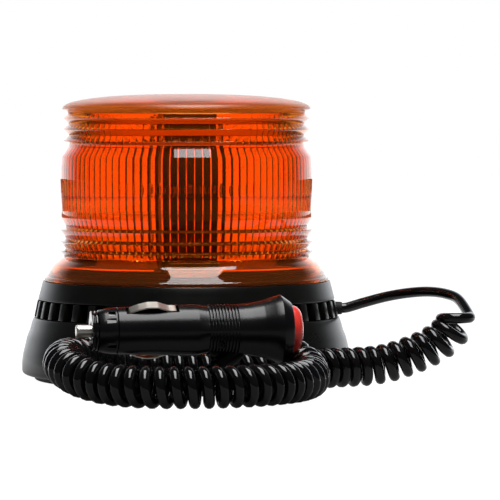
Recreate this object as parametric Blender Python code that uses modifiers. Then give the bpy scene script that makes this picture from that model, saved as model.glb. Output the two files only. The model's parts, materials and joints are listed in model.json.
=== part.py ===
"""Amber LED warning beacon on a magnetic base, with a curly cord and a switched 12 V plug.

The frame is metres with +Z up. The origin is on the surface that the beacon stands on, under the
middle of its base. The front is -Y, and the cord leaves the base at +X. Sizes are named below in
millimetres, and MM turns them into metres where a shape is made.
"""

import math

import bmesh
import bpy
from mathutils import Matrix, Vector

MM = 0.001
GAP = 0.3  # room left between neighbouring pieces

# Beacon: radii and heights above the surface it stands on
BASE_R = 72.5
PAD_R = 67.0
PAD_TOP = 2.0
HOUSING_FLOOR = PAD_TOP + GAP
LOUVRE_BOTTOM = 27.6
LOUVRE_TOP = 34.8
LOUVRE_R = 65.6
LOUVRE_FLOOR_R = 61.5
LOUVRE_BORE_R = 59.0
LOUVRES = 45
LOUVRE_WIDTH = 3.7
DECK_BOTTOM = 40.0
DECK_TOP = 43.0
LENS_BOTTOM = 43.5
RING_TIP_R = 54.6
DOME_FOOT = 118.6
DOME_RISE = 6.6
DOME_ROUNDNESS = 2.3
LENS_WALL = 3.4
HEIGHT_INSIDE = DOME_FOOT + DOME_RISE - LENS_WALL

# LED column
TOWER_SIDE = 22.0
TOWER_WALL = 2.5
TOWER_BOTTOM = 45.6
TOWER_TOP = 103.7
TOWER_TURN = math.radians(9)
BOARD_THICK = 1.6
BOARD_BOTTOM = 46.5
BOARD_TOP = 102.5
LED_HEIGHT = 84.0
LED_PITCH = 8.3
OPTIC_R = 3.8

# Fasteners
HOUSING_SCREW_CIRCLE = 54.0
BOARD_SCREW_CIRCLE = 32.0

# Cord
CORD_R = 2.3
COIL_R = 8.6
EXIT_HEIGHT = 30.8
EXIT_X = 68.8

# Plug: lengths run from the tip of its centre contact, along its axis
PLUG_TIP = (-45.4, -124.4, 28.8)
PLUG_TURN = math.radians(9)
PLUG_BODY_R = 10.4
PLUG_FLARE_R = 14.1
PLUG_REAR = 88.9
PLUG_LENGTH = 94.4
BUTTON_R = 9.75
CONTACT_TURN = math.radians(27)
CONTACT_WIDTH = 4.6
PLUG_SCREW_AT = (0, -5.7, 59.0)
RELIEF_TILT = math.radians(40)
RELIEF_LENGTH = 18.0
RELIEF_STATION = 64.5

# Colour, roughness and metallic value of each finish
FINISHES = {
    "amber_lens": ((0.86, 0.16, 0.01), 0.12, 0.0),
    "black_plastic": ((0.018, 0.018, 0.02), 0.38, 0.0),
    "black_gloss": ((0.012, 0.012, 0.014), 0.2, 0.0),
    "black_rubber": ((0.02, 0.02, 0.02), 0.75, 0.0),
    "cord_jacket": ((0.01, 0.01, 0.011), 0.22, 0.0),
    "nickel": ((0.72, 0.69, 0.62), 0.22, 1.0),
    "steel": ((0.55, 0.55, 0.56), 0.35, 1.0),
    "aluminium": ((0.62, 0.63, 0.65), 0.4, 1.0),
    "ferrite": ((0.06, 0.06, 0.065), 0.6, 0.2),
    "board_green": ((0.03, 0.14, 0.06), 0.45, 0.0),
    "clear_optic": ((0.85, 0.87, 0.88), 0.08, 0.0),
    "red_button": ((0.72, 0.03, 0.02), 0.25, 0.0),
    "glass": ((0.8, 0.85, 0.85), 0.05, 0.0),
    "copper": ((0.72, 0.36, 0.2), 0.35, 1.0),
}

# Route of the cord, as points of its middle line that a hand laid out
LEAD_ROUTE = [
    (EXIT_X, 0.0, EXIT_HEIGHT),
    (71.5, -0.1, 31.2),
    (78.0, -0.6, 33.2),
    (88.0, -3.2, 36.0),
    (97.5, -8.0, 37.9),
    (106.0, -15.0, 38.8),
    (113.0, -24.5, 38.3),
    (117.6, -34.0, 36.2),
    (119.4, -40.8, 34.0),
]
COIL_ROUTE = [
    (115.4, -50.0, 31.4),
    (113.6, -50.3, 25.2),
    (108.6, -50.8, 20.2),
    (102.9, -51.2, 16.8),
    (97.3, -51.6, 14.3),
    (92.0, -52.0, 12.4),
    (86.0, -52.4, 10.6),
    (78.0, -53.2, 9.3),
    (66.5, -57.0, 8.9),
    (55.0, -63.5, 8.9),
    (42.0, -71.5, 8.9),
    (26.0, -78.6, 8.9),
    (8.0, -82.6, 8.9),
    (-10.0, -83.8, 9.6),
    (-26.0, -86.0, 12.4),
    (-39.0, -92.0, 15.2),
    (-47.2, -102.0, 16.2),
    (-49.8, -114.0, 16.0),
    (-48.8, -127.0, 14.6),
    (-42.8, -140.5, 12.0),
    (-31.6, -150.2, 9.6),
    (-16.5, -158.2, 8.9),
    (1.0, -160.4, 8.9),
    (17.0, -157.4, 8.9),
    (30.5, -149.8, 8.9),
    (41.5, -138.3, 9.0),
    (48.3, -125.0, 9.2),
    (50.2, -112.0, 9.6),
    (49.0, -102.0, 11.8),
    (45.0, -94.6, 14.9),
    (38.0, -91.2, 17.0),
]
TAIL_ROUTE = [
    (32.6, -98.0, 8.3),
    (29.0, -101.4, 6.8),
    (22.0, -104.4, 4.8),
    (12.0, -104.8, 3.2),
    (2.0, -103.2, 2.6),
    (-9.0, -101.8, 2.5),
    (-19.0, -104.4, 2.5),
    (-23.2, -111.2, 2.5),
    (-19.6, -117.6, 2.5),
    (-12.5, -119.4, 2.5),
    (-5.0, -118.3, 2.6),
    (-0.8, -117.4, 3.3),
    (2.2, -116.9, 4.9),
    (4.45, -116.55, 6.6),
]


# ---------------------------------------------------------------- helpers


def clear_scene():
    for obj in list(bpy.data.objects):
        bpy.data.objects.remove(obj, do_unlink=True)


def new_collection(name, hidden=False):
    made = bpy.data.collections.new(name)
    bpy.context.scene.collection.children.link(made)
    made.hide_render = hidden
    return made


def make_finish(name):
    colour, roughness, metallic = FINISHES[name]
    finish = bpy.data.materials.new(name)
    finish.use_nodes = True
    shader = finish.node_tree.nodes["Principled BSDF"]
    shader.inputs["Base Color"].default_value = (*colour, 1.0)
    shader.inputs["Roughness"].default_value = roughness
    shader.inputs["Metallic"].default_value = metallic
    return finish


def add_object(name, data, finish, parent=None):
    """Put data in the beacon's collection, or among the cutters when it has no finish."""
    obj = bpy.data.objects.new(name, data)
    if finish is None:
        CUTTERS.objects.link(obj)
        obj.hide_render = True
        obj.display_type = "WIRE"
    else:
        BEACON.objects.link(obj)
        data.materials.append(MATERIALS[finish])
    obj.parent = parent
    return obj


def turned(name, profile, finish, steps=36, ring=False, parent=None):
    """Turn a (radius, height) profile about local Z. A ring's profile closes on itself."""
    count = len(profile)
    edges = [(i, i + 1) for i in range(count - 1)]
    if ring:
        edges.append((count - 1, 0))
    mesh = bpy.data.meshes.new(name)
    mesh.from_pydata([(r * MM, 0.0, z * MM) for r, z in profile], edges, [])
    obj = add_object(name, mesh, finish, parent)
    screw = obj.modifiers.new("turn", "SCREW")
    screw.angle = 2 * math.pi
    screw.steps = steps
    screw.render_steps = steps
    screw.use_merge_vertices = True
    screw.merge_threshold = 0.00001
    screw.use_smooth_shade = True
    return obj


def rod(name, radius, bottom, top, finish, steps=12, parent=None):
    profile = [(0.0, top), (radius, top), (radius, bottom), (0.0, bottom)]
    return turned(name, profile, finish, steps, parent=parent)


def block(name, size, centre, finish, rounding=0.0, parent=None):
    shape = bmesh.new()
    bmesh.ops.create_cube(shape, size=1.0)
    bmesh.ops.scale(shape, vec=Vector(size) * MM, verts=shape.verts)
    bmesh.ops.translate(shape, vec=Vector(centre) * MM, verts=shape.verts)
    mesh = bpy.data.meshes.new(name)
    shape.to_mesh(mesh)
    shape.free()
    obj = add_object(name, mesh, finish, parent)
    if rounding:
        bevel = obj.modifiers.new("rounding", "BEVEL")
        bevel.width = rounding * MM
        bevel.segments = 2
    return obj


def boolean(target, other, operation):
    step = target.modifiers.new(other.name, "BOOLEAN")
    step.operation = operation
    step.object = other
    step.solver = "EXACT"


def cut(target, cutter):
    boolean(target, cutter, "DIFFERENCE")


def join(target, addition):
    boolean(target, addition, "UNION")


def place(obj, position, direction=(0, 0, 1)):
    """Put obj's origin at a position in millimetres, with its local Z along a direction."""
    obj.location = Vector(position) * MM
    obj.rotation_mode = "QUATERNION"
    obj.rotation_quaternion = Vector(direction).to_track_quat("Z", "Y")


def on_circle(radius, degrees, height=0.0):
    turn = math.radians(degrees)
    return (radius * math.cos(turn), radius * math.sin(turn), height)


def baked_mesh(obj):
    """The mesh of obj with its modifiers applied, welded, for a piece that is used several times."""
    bpy.context.view_layer.update()
    graph = bpy.context.evaluated_depsgraph_get()
    mesh = bpy.data.meshes.new_from_object(obj.evaluated_get(graph))
    shape = bmesh.new()
    shape.from_mesh(mesh)
    bmesh.ops.remove_doubles(shape, verts=shape.verts, dist=0.000001)
    shape.to_mesh(mesh)
    shape.free()
    return mesh


def spline_point(before, start, end, after, t):
    """A point on the Catmull-Rom curve between start and end."""
    return 0.5 * (
        2 * start
        + (end - before) * t
        + (2 * before - 5 * start + 4 * end - after) * t**2
        + (3 * start - before - 3 * end + after) * t**3
    )


def smooth_route(points, spacing):
    """Even points along one smooth curve through a route's own points, in millimetres."""
    knots = [Vector(p) for p in points]
    knots = [2 * knots[0] - knots[1], *knots, 2 * knots[-1] - knots[-2]]
    steps = 40
    fine = [
        spline_point(*knots[i : i + 4], step / steps)
        for i in range(len(knots) - 3)
        for step in range(steps)
    ]
    fine.append(knots[-2])
    run = [0.0]
    for a, b in zip(fine, fine[1:]):
        run.append(run[-1] + (b - a).length)
    count = max(2, round(run[-1] / spacing))
    even, index = [], 0
    for k in range(count + 1):
        want = run[-1] * k / count
        while index < len(fine) - 2 and run[index + 1] < want:
            index += 1
        share = (want - run[index]) / (run[index + 1] - run[index])
        even.append(fine[index].lerp(fine[index + 1], share))
    return even


def tube(name, points, radius, finish, sides=2, parent=None):
    """A round tube along points in millimetres. It has 2 * (sides + 2) sides."""
    curve = bpy.data.curves.new(name, "CURVE")
    curve.dimensions = "3D"
    curve.bevel_depth = radius * MM
    curve.bevel_resolution = sides
    curve.use_fill_caps = True
    spline = curve.splines.new("POLY")
    spline.points.add(len(points) - 1)
    for knot, point in zip(spline.points, points):
        knot.co = (*(Vector(point) * MM), 1.0)
    return add_object(name, curve, finish, parent)


# ---------------------------------------------------------------- beacon shell


def dome_points():
    """The dome's outline from its middle to its foot, a flattened round."""
    radii = (0.0, 16.0, 29.0, 39.0, 46.0, 50.5, 53.2, RING_TIP_R)
    return [
        (
            r,
            DOME_FOOT
            + DOME_RISE
            * (1 - (r / RING_TIP_R) ** DOME_ROUNDNESS) ** (1 / DOME_ROUNDNESS),
        )
        for r in radii
    ]


def make_lens():
    top_rings = [(52.4, 117.0), (RING_TIP_R, 114.6), (52.4, 112.8)]
    top_rings += [(RING_TIP_R, 109.7), (51.5, 108.3), (RING_TIP_R, 104.6)]
    barrel = [(52.0, 103.0), (55.0, 97.9), (55.5, 88.0), (54.8, 73.3), (55.1, 71.1)]
    low_rings = [(53.3, 67.0), (55.9, 65.9), (53.3, 61.9), (55.9, 60.7)]
    low_rings += [(53.3, 57.6), (56.1, 56.5), (54.0, 53.9)]
    skirt = [(58.6, 50.2), (61.2, 46.7), (62.6, LENS_BOTTOM)]
    inside = [(57.7, LENS_BOTTOM), (57.7, 48.2), (50.4, 54.0), (50.0, 71.0)]
    inside += [(51.6, 76.0), (51.6, 97.0), (49.0, 102.0), (49.0, 116.0)]
    dome_inside = [(44.0, 118.4), (26.0, 121.0), (0.0, HEIGHT_INSIDE)]
    profile = dome_points() + top_rings + barrel + low_rings + skirt + inside + dome_inside
    return turned("lens", profile, "amber_lens")


def make_lens_seal():
    middle_r, middle_z, radius = 56.2, 46.7, 1.0
    ring = [
        (
            middle_r + radius * math.cos(k * math.pi / 3),
            middle_z - radius * math.sin(k * math.pi / 3),
        )
        for k in range(6)
    ]
    return turned("lens_seal", ring, "black_rubber", ring=True)


def make_upper_housing():
    cone = [(63.2, 43.2), (64.1, 39.6), (65.3, LOUVRE_TOP + GAP)]
    under = [(62.3, LOUVRE_TOP + GAP), (61.0, DECK_BOTTOM), (8.0, DECK_BOTTOM)]
    spigot = [(8.0, DECK_TOP), (53.0, DECK_TOP), (53.0, 49.0), (56.0, 49.0)]
    groove = [(56.0, 47.9), (54.9, 47.9), (54.9, 45.5), (56.0, 45.5), (56.0, 43.2)]
    housing = turned(
        "upper_housing", cone + under + spigot + groove, "black_plastic", ring=True
    )
    bosses = [(on_circle(HOUSING_SCREW_CIRCLE, 45 + 90 * k), 4.5, 33.3, 1.8, 41.5) for k in range(4)]
    bosses += [(on_circle(BOARD_SCREW_CIRCLE, 90 + 120 * k), 3.2, 31.9, 1.5, 38.0) for k in range(3)]
    for k, (spot, radius, bottom, _, _) in enumerate(bosses):
        boss = rod(f"upper_boss_{k}", radius, bottom, DECK_BOTTOM + 0.7, None)
        place(boss, spot)
        join(housing, boss)
    for k, (spot, _, _, radius, top) in enumerate(bosses):
        bore = rod(f"upper_bore_{k}", radius, 30.0, top, None, steps=12)
        place(bore, spot)
        cut(housing, bore)
    return housing


def make_louvre_ring():
    """A ring of fins with open slots between them, and a notch where the cord comes out."""
    half = math.degrees(LOUVRE_WIDTH / 2 / LOUVRE_R)
    pitch = 360 / LOUVRES
    outline = []
    for k in range(LOUVRES):
        tip = LOUVRE_FLOOR_R if k == 0 else LOUVRE_R
        outline += [on_circle(LOUVRE_FLOOR_R, k * pitch - half)] if k else []
        outline += [on_circle(tip, k * pitch - half), on_circle(tip, k * pitch + half)]
        outline += [on_circle(LOUVRE_FLOOR_R, k * pitch + half)] if k else []
    bore = [on_circle(LOUVRE_BORE_R, 6 * k) for k in range(60)]
    curve = bpy.data.curves.new("louvre_ring", "CURVE")
    curve.dimensions = "2D"
    curve.fill_mode = "BOTH"
    curve.extrude = (LOUVRE_TOP - LOUVRE_BOTTOM) / 2 * MM
    for loop in (outline, bore):
        spline = curve.splines.new("POLY")
        spline.points.add(len(loop) - 1)
        spline.use_cyclic_u = True
        for knot, point in zip(spline.points, loop):
            knot.co = (*(Vector(point) * MM), 1.0)
    flat = bpy.data.objects.new("louvre_outline", curve)
    CUTTERS.objects.link(flat)
    mesh = baked_mesh(flat)
    bpy.data.objects.remove(flat)
    mesh.transform(Matrix.Translation((0, 0, (LOUVRE_TOP + LOUVRE_BOTTOM) / 2 * MM)))
    ring = add_object("louvre_ring", mesh, "black_plastic")
    hole = rod("cord_hole", 3.2, 56.0, 70.0, None)
    place(hole, (0, 0, EXIT_HEIGHT), (1, 0, 0))
    cut(ring, hole)
    notch = block("cord_notch", (14.0, 6.4, 8.0), (63.0, 0, EXIT_HEIGHT - 4.0), None)
    cut(ring, notch)
    return ring


def make_lower_housing():
    top = LOUVRE_BOTTOM - GAP
    outer = [(67.2, top), (68.9, 22.0), (71.1, 15.0), (72.0, 11.5)]
    outer += [(BASE_R, 7.9), (BASE_R, 3.6), (71.3, HOUSING_FLOOR)]
    floor = [(43.0, HOUSING_FLOOR), (43.0, 5.3), (68.6, 5.3)]
    inner = [(69.4, 8.0), (68.9, 11.5), (65.8, 22.0), (64.2, top)]
    housing = turned("lower_housing", outer + floor + inner, "black_plastic", ring=True)
    for k in range(4):
        post = rod(f"lower_post_{k}", 4.5, 5.0, 33.0, None)
        place(post, on_circle(HOUSING_SCREW_CIRCLE, 45 + 90 * k))
        join(housing, post)
        bore = turned(
            f"lower_bore_{k}",
            [(0.0, 36.0), (1.8, 36.0), (1.8, 5.6), (3.7, 5.6), (3.7, 1.0), (0.0, 1.0)],
            None,
            steps=12,
        )
        place(bore, on_circle(HOUSING_SCREW_CIRCLE, 45 + 90 * k))
        cut(housing, bore)
    return housing


def make_base():
    pad = [(0.0, PAD_TOP), (PAD_R, PAD_TOP), (PAD_R, 0.6), (PAD_R - 0.6, 0.0), (0.0, 0.0)]
    turned("base_pad", pad, "black_rubber")
    cup_outside = [(0.0, 14.0), (42.7, 14.0), (42.7, 7.8), (48.8, 7.8), (48.8, 5.6)]
    cup_inside = [(42.7, 5.6), (42.7, HOUSING_FLOOR), (40.7, HOUSING_FLOOR)]
    cup_inside += [(40.7, 11.5), (0.0, 11.5)]
    turned("magnet_cup", cup_outside + cup_inside, "steel", steps=36)
    magnet = [(40.4, 11.2), (40.4, HOUSING_FLOOR), (10.0, HOUSING_FLOOR), (10.0, 11.2)]
    turned("magnet_ring", magnet, "ferrite", steps=36, ring=True)
    screw = [(0.0, 40.7), (1.5, 40.7), (1.5, 5.2), (3.3, 5.2), (3.3, 2.6), (0.0, 2.6)]
    for k in range(4):
        fastener = turned(f"housing_screw_{k + 1}", screw, "steel", steps=12)
        place(fastener, on_circle(HOUSING_SCREW_CIRCLE, 45 + 90 * k))


# ---------------------------------------------------------------- beacon insides


def make_led_column():
    turned("heat_plate", [(48, 45.3), (48, 43.3), (7, 43.3), (7, 45.3)], "aluminium", 36, True)
    axis = bpy.data.objects.new("tower_axis", None)
    BEACON.objects.link(axis)
    axis.rotation_euler.z = TOWER_TURN
    middle = (TOWER_TOP + TOWER_BOTTOM) / 2
    height = TOWER_TOP - TOWER_BOTTOM
    size = (TOWER_SIDE, TOWER_SIDE, height)
    tower = block("led_tower", size, (0, 0, middle), "aluminium", parent=axis)
    hollow = TOWER_SIDE - 2 * TOWER_WALL
    core = block("tower_core", (hollow, hollow, height + 4), (0, 0, middle), None, parent=axis)
    cut(tower, core)
    cap_side = TOWER_SIDE + 4.0
    block("tower_cap", (cap_side, cap_side, 3.4), (0, 0, 105.7), "black_plastic", 0.8, axis)
    board_mesh, optic_mesh = led_board_mesh(), led_optic_mesh()
    for k in range(4):
        for kind, mesh, finish in (
            ("led_board", board_mesh, "board_green"),
            ("led_optic", optic_mesh, "clear_optic"),
        ):
            piece = add_object(f"{kind}_{k + 1}", mesh.copy(), finish, axis)
            piece.rotation_euler.z = math.radians(90 * k)


def led_board_mesh():
    """A board on the column's -Y side, with its three emitters standing out of it."""
    back = TOWER_SIDE / 2 + GAP
    middle = (BOARD_TOP + BOARD_BOTTOM) / 2
    size = (TOWER_SIDE, BOARD_THICK, BOARD_TOP - BOARD_BOTTOM)
    board = block("board_blank", size, (0, -back - BOARD_THICK / 2, middle), None)
    emitters = []
    for k in (-1, 0, 1):
        place_at = (k * LED_PITCH, -back - BOARD_THICK - 0.3, LED_HEIGHT)
        emitters.append(block(f"emitter_{k}", (3.4, 0.8, 3.4), place_at, None))
        join(board, emitters[-1])
    mesh = baked_mesh(board)
    for obj in [board, *emitters]:
        bpy.data.objects.remove(obj)
    return mesh


def led_optic_mesh():
    """A clear strip with three domed lenses and two feet, over the emitters."""
    front = TOWER_SIDE / 2 + GAP + BOARD_THICK + 1.0
    strip = block("optic_blank", (22.0, 1.2, 8.4), (0, -front - 0.6, LED_HEIGHT), None)
    additions = []
    for k in (-1, 0, 1):
        dome = [(0.0, 2.4), (1.7, 2.1), (3.0, 1.3), (OPTIC_R, 0.0), (3.6, -0.6), (0.0, -0.6)]
        additions.append(turned(f"optic_dome_{k}", dome, None, steps=12))
        place(additions[-1], (k * LED_PITCH, -front - 1.1, LED_HEIGHT), (0, -1, 0))
    for k in (-1, 1):
        additions.append(rod(f"optic_foot_{k}", 0.8, -0.5, 0.7, None, steps=8))
        place(additions[-1], (k * LED_PITCH / 2, -front, LED_HEIGHT), (0, 1, 0))
    for addition in additions:
        join(strip, addition)
    mesh = baked_mesh(strip)
    for obj in [strip, *additions]:
        bpy.data.objects.remove(obj)
    return mesh


def make_driver():
    board = rod("driver_board", 40.0, 30.0, 31.6, "board_green", steps=36)
    screw = [(0, 36.5), (1.2, 36.5), (1.2, 29.7), (2.6, 29.7), (2.6, 27.6), (0, 27.6)]
    for k in range(3):
        spot = on_circle(BOARD_SCREW_CIRCLE, 90 + 120 * k)
        hole = rod(f"board_hole_{k}", 1.5, 28.0, 34.0, None, steps=12)
        place(hole, spot)
        cut(board, hole)
        place(turned(f"board_screw_{k + 1}", screw, "steel", steps=12), spot)
    place(rod("capacitor", 5.0, 15.5, 29.7, "black_gloss"), (-18, 12, 0))
    core = [(9.0, 29.7), (9.0, 23.5), (4.0, 23.5), (4.0, 29.7)]
    place(turned("inductor", core, "copper", steps=20, ring=True), (16, -14, 0))
    block("regulator", (10.0, 8.0, 4.0), (14.0, 16.0, 27.7), "black_gloss")


def make_cord_outlet():
    nose = [(0.0, 68.0), (2.6, 68.0), (2.9, 64.5), (2.9, 58.6), (4.5, 58.6)]
    nose += [(4.5, 56.2), (0.0, 56.2)]
    grommet = turned("cable_grommet", nose, "black_rubber", steps=16)
    place(grommet, (0, 0, EXIT_HEIGHT), (1, 0, 0))
    inside = [(55.7, 0, EXIT_HEIGHT), (52.5, 0, EXIT_HEIGHT), (48, 1, 31.6), (44, 1.5, 33.4)]
    inside += [(39, 1.0, 34.4), (34, 0, 34.5)]
    tube("supply_cable", smooth_route(inside, 3.0), 2.0, "cord_jacket")


def make_cord():
    tube("cord_lead", smooth_route(LEAD_ROUTE, 3.5), CORD_R, "cord_jacket")
    tube("cord_coil", smooth_route(COIL_ROUTE, 6.5), COIL_R, "cord_jacket", sides=4)
    tube("cord_tail", smooth_route(TAIL_ROUTE, 3.5), CORD_R, "cord_jacket")


# ---------------------------------------------------------------- plug


def make_plug_axis():
    """An empty at the plug's tip: its Z runs to the rear, its Y up and its -X to the front."""
    axis = bpy.data.objects.new("plug_axis", None)
    BEACON.objects.link(axis)
    along = Vector((math.cos(PLUG_TURN), math.sin(PLUG_TURN), 0))
    up = Vector((0, 0, 1))
    frame = Matrix((up.cross(along), up, along)).transposed()
    axis.location = Vector(PLUG_TIP) * MM
    axis.rotation_euler = frame.to_euler()
    return axis


def shell_profile():
    flare = [(11.0, PLUG_REAR), (PLUG_FLARE_R, 84.4), (13.05, 81.1), (11.7, 77.0)]
    grip = [(10.75, 72.0), (PLUG_BODY_R, 67.0), (PLUG_BODY_R, 43.2), (9.95, 30.0)]
    spigot = [(9.6, 17.2), (7.3, 17.2), (7.3, 11.6), (5.0, 11.6)]
    chamber = [(5.0, 18.6), (8.2, 19.0), (8.2, 55.3), (3.0, 55.3), (3.0, 69.5)]
    rear = [(9.0, 69.5), (9.0, 83.4), (10.05, 83.4), (10.05, PLUG_REAR)]
    return flare + grip + spigot + chamber + rear


def screw_cutter(axis, name):
    profile = [(0, 14), (2.5, 14), (2.5, 6.3), (1.4, 6.3), (1.4, -6.4), (0, -6.4)]
    cutter = turned(name, profile, None, steps=16, parent=axis)
    place(cutter, PLUG_SCREW_AT, (-1, 0, 0))
    return cutter


def make_shells(axis):
    relief_out = (0, -math.sin(RELIEF_TILT), -math.cos(RELIEF_TILT))
    for side, sign in (("front", -1), ("back", 1)):
        shell = turned(
            f"plug_shell_{side}", shell_profile(), "black_plastic", 24, True, axis
        )
        other_half = (-sign * (30 - GAP / 2), 0, 50)
        cut(shell, block(f"{side}_half", (60, 60, 120), other_half, None, parent=axis))
        cut(shell, screw_cutter(axis, f"{side}_screw_bore"))
        turn = CONTACT_TURN if side == "front" else CONTACT_TURN + math.pi
        slot = block(f"{side}_slot", (5.2, 10.0, 21.6), (0, 11.0, 31.3), None, parent=axis)
        slot.rotation_euler.z = turn
        cut(shell, slot)
        bore = rod(f"{side}_relief_bore", 4.3, -3.9, 20.0, None, parent=axis)
        place(bore, (0, -PLUG_BODY_R, RELIEF_STATION), relief_out)
        cut(shell, bore)
    screw = [(0, 8.3), (2.1, 8.3), (2.1, 6.6), (1.1, 6.6), (1.1, -6.0), (0, -6.0)]
    fastener = turned("plug_screw", screw, "steel", steps=12, parent=axis)
    place(fastener, PLUG_SCREW_AT, (-1, 0, 0))


def make_nose(axis):
    cap = [(9.6, 16.9), (9.4, 14.5), (9.0, 12.0), (8.4, 9.4), (2.9, 9.4)]
    cap += [(2.9, 11.2), (7.7, 11.2), (7.7, 16.9)]
    nose_cap = turned("nose_cap", cap, "black_plastic", 24, True, axis)
    for k, degrees in enumerate((44, 64, 122, 224, 244, 302)):
        window = block(f"cap_window_{k}", (2.0, 4.0, 2.6), (0, 9.0, 14.6), None, parent=axis)
        window.rotation_euler.z = math.radians(degrees)
        cut(nose_cap, window)
    ring = [(8.15, 9.1), (8.15, 8.0), (7.6, 7.9), (7.6, 7.5), (8.15, 7.4), (8.15, 6.2)]
    ring += [(2.9, 6.2), (2.9, 9.1)]
    turned("nose_ring", ring, "black_gloss", 24, True, axis)


def make_contacts(axis):
    tip = [(0, 13.0), (4.2, 13.0), (4.2, 11.6), (2.55, 11.6), (2.55, 0.6), (1.9, 0), (0, 0)]
    turned("plug_tip", tip, "nickel", steps=20, parent=axis)
    fuse = [(0, 43.3), (3.15, 43.3), (3.15, 36.8), (2.85, 36.8), (2.85, 19.8)]
    fuse += [(3.15, 19.8), (3.15, 13.3), (0, 13.3)]
    turned("fuse", fuse, "glass", steps=16, parent=axis)
    turns, low, high = 5, 44.0, 53.6
    count = turns * 8
    wire = [
        (
            2.4 * math.cos(2 * math.pi * k / 8),
            2.4 * math.sin(2 * math.pi * k / 8),
            low + (high - low) * k / count,
        )
        for k in range(count + 1)
    ]
    tube("tip_spring", wire, 0.35, "steel", sides=1, parent=axis)
    rod("spring_plate", 6.5, 54.3, 55.0, "nickel", parent=axis)
    for name, turn in (("top", CONTACT_TURN), ("bottom", CONTACT_TURN + math.pi)):
        leaf = ground_leaf(f"ground_contact_{name}", axis)
        leaf.rotation_euler.z = turn


def ground_leaf(name, axis):
    """A strip that bows out through its slot, with both ends held under the shell."""
    bow = [(19.7, 7.2), (21.2, 7.2), (21.8, 8.6), (22.6, 10.0), (26.0, 11.2), (29.8, 11.75)]
    bow += [(33.0, 11.75), (36.6, 10.9), (38.6, 10.4), (41.0, 10.4), (41.3, 8.8)]
    bow += [(41.5, 7.2), (43.0, 7.2)]
    shape = bmesh.new()
    line = [shape.verts.new((-CONTACT_WIDTH / 2 * MM, r * MM, z * MM)) for z, r in bow]
    edges = [shape.edges.new(pair) for pair in zip(line, line[1:])]
    grown = bmesh.ops.extrude_edge_only(shape, edges=edges)["geom"]
    across = [v for v in grown if isinstance(v, bmesh.types.BMVert)]
    bmesh.ops.translate(shape, vec=(CONTACT_WIDTH * MM, 0, 0), verts=across)
    bmesh.ops.recalc_face_normals(shape, faces=shape.faces)
    mesh = bpy.data.meshes.new(name)
    shape.to_mesh(mesh)
    shape.free()
    leaf = add_object(name, mesh, "nickel", axis)
    thick = leaf.modifiers.new("strip", "SOLIDIFY")
    thick.thickness = 0.6 * MM
    thick.offset = 0.0
    return leaf


def make_switch(axis):
    body = [(0, 74.0), (3.3, 74.0), (3.3, 83.1), (8.6, 83.1), (8.6, 69.8), (0, 69.8)]
    turned("switch_body", body, "black_gloss", 20, parent=axis)
    button = [(0, PLUG_LENGTH), (7.6, 94.2), (9.2, 93.2), (BUTTON_R, 91.4), (BUTTON_R, 86.3)]
    button += [(3.0, 86.3), (3.0, 77.8), (0, 77.8)]
    turned("switch_button", button, "red_button", 24, parent=axis)


def make_strain_relief(axis):
    """A tapered boot with ribs, pushed into the underside of the plug at a slant."""
    outline = [(0, RELIEF_LENGTH), (2.9, RELIEF_LENGTH)]
    for k in range(4):
        top = 16.4 - 3.0 * k
        radius = 3.1 + 0.25 * k
        outline += [(radius, top), (radius - 0.6, top - 0.3)]
        outline += [(radius - 0.6, top - 1.1), (radius + 0.2, top - 1.4)]
    outline += [(4.0, 4.4), (4.0, -3.6), (0, -3.6)]
    boot = turned("strain_relief", outline, "black_rubber", 12, parent=axis)
    out = (0, -math.sin(RELIEF_TILT), -math.cos(RELIEF_TILT))
    place(boot, (0, -PLUG_BODY_R, RELIEF_STATION), out)


# ---------------------------------------------------------------- assembly

clear_scene()
BEACON = new_collection("warning_beacon")
CUTTERS = new_collection("cutters", hidden=True)
MATERIALS = {name: make_finish(name) for name in FINISHES}

make_lens()
make_lens_seal()
make_upper_housing()
make_louvre_ring()
make_lower_housing()
make_base()
make_led_column()
make_driver()
make_cord_outlet()
make_cord()

plug = make_plug_axis()
make_shells(plug)
make_nose(plug)
make_contacts(plug)
make_switch(plug)
make_strain_relief(plug)
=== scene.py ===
# %% [markdown]
# # An amber warning beacon with a curly cord
#
# This beacon stands on a rubber pad over a pot magnet. A black housing with a band of louvres carries
# an amber lens, and a square LED column stands inside the lens. A curly cord runs from the side of
# the base to a plug with a red switch on its end.
#
# The first step loads the frame: the solid of every working piece, in metres, where it belongs. The
# visible pieces are then made again here in fine detail, and each one stands for its plain solid.

# %% Load the frame
import json
import math

import bmesh
import bpy
from mathutils import Matrix, Vector


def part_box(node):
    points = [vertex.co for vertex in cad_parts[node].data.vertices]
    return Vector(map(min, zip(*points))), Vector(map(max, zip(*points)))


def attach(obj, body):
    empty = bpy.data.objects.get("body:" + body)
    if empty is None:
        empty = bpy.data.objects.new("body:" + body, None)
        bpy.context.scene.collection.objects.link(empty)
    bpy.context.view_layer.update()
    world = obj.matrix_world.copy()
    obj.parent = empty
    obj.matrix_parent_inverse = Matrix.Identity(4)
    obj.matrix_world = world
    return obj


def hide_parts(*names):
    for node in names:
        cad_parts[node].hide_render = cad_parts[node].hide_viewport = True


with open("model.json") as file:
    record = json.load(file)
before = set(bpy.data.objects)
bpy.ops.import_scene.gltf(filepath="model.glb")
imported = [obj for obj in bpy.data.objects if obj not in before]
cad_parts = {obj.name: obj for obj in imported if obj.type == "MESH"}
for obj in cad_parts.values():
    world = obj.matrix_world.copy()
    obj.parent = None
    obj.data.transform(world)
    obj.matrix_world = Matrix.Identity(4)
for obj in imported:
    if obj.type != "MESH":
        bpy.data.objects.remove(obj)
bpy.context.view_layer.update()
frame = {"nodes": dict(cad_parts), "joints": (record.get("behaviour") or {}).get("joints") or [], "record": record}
MM = 0.001

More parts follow.
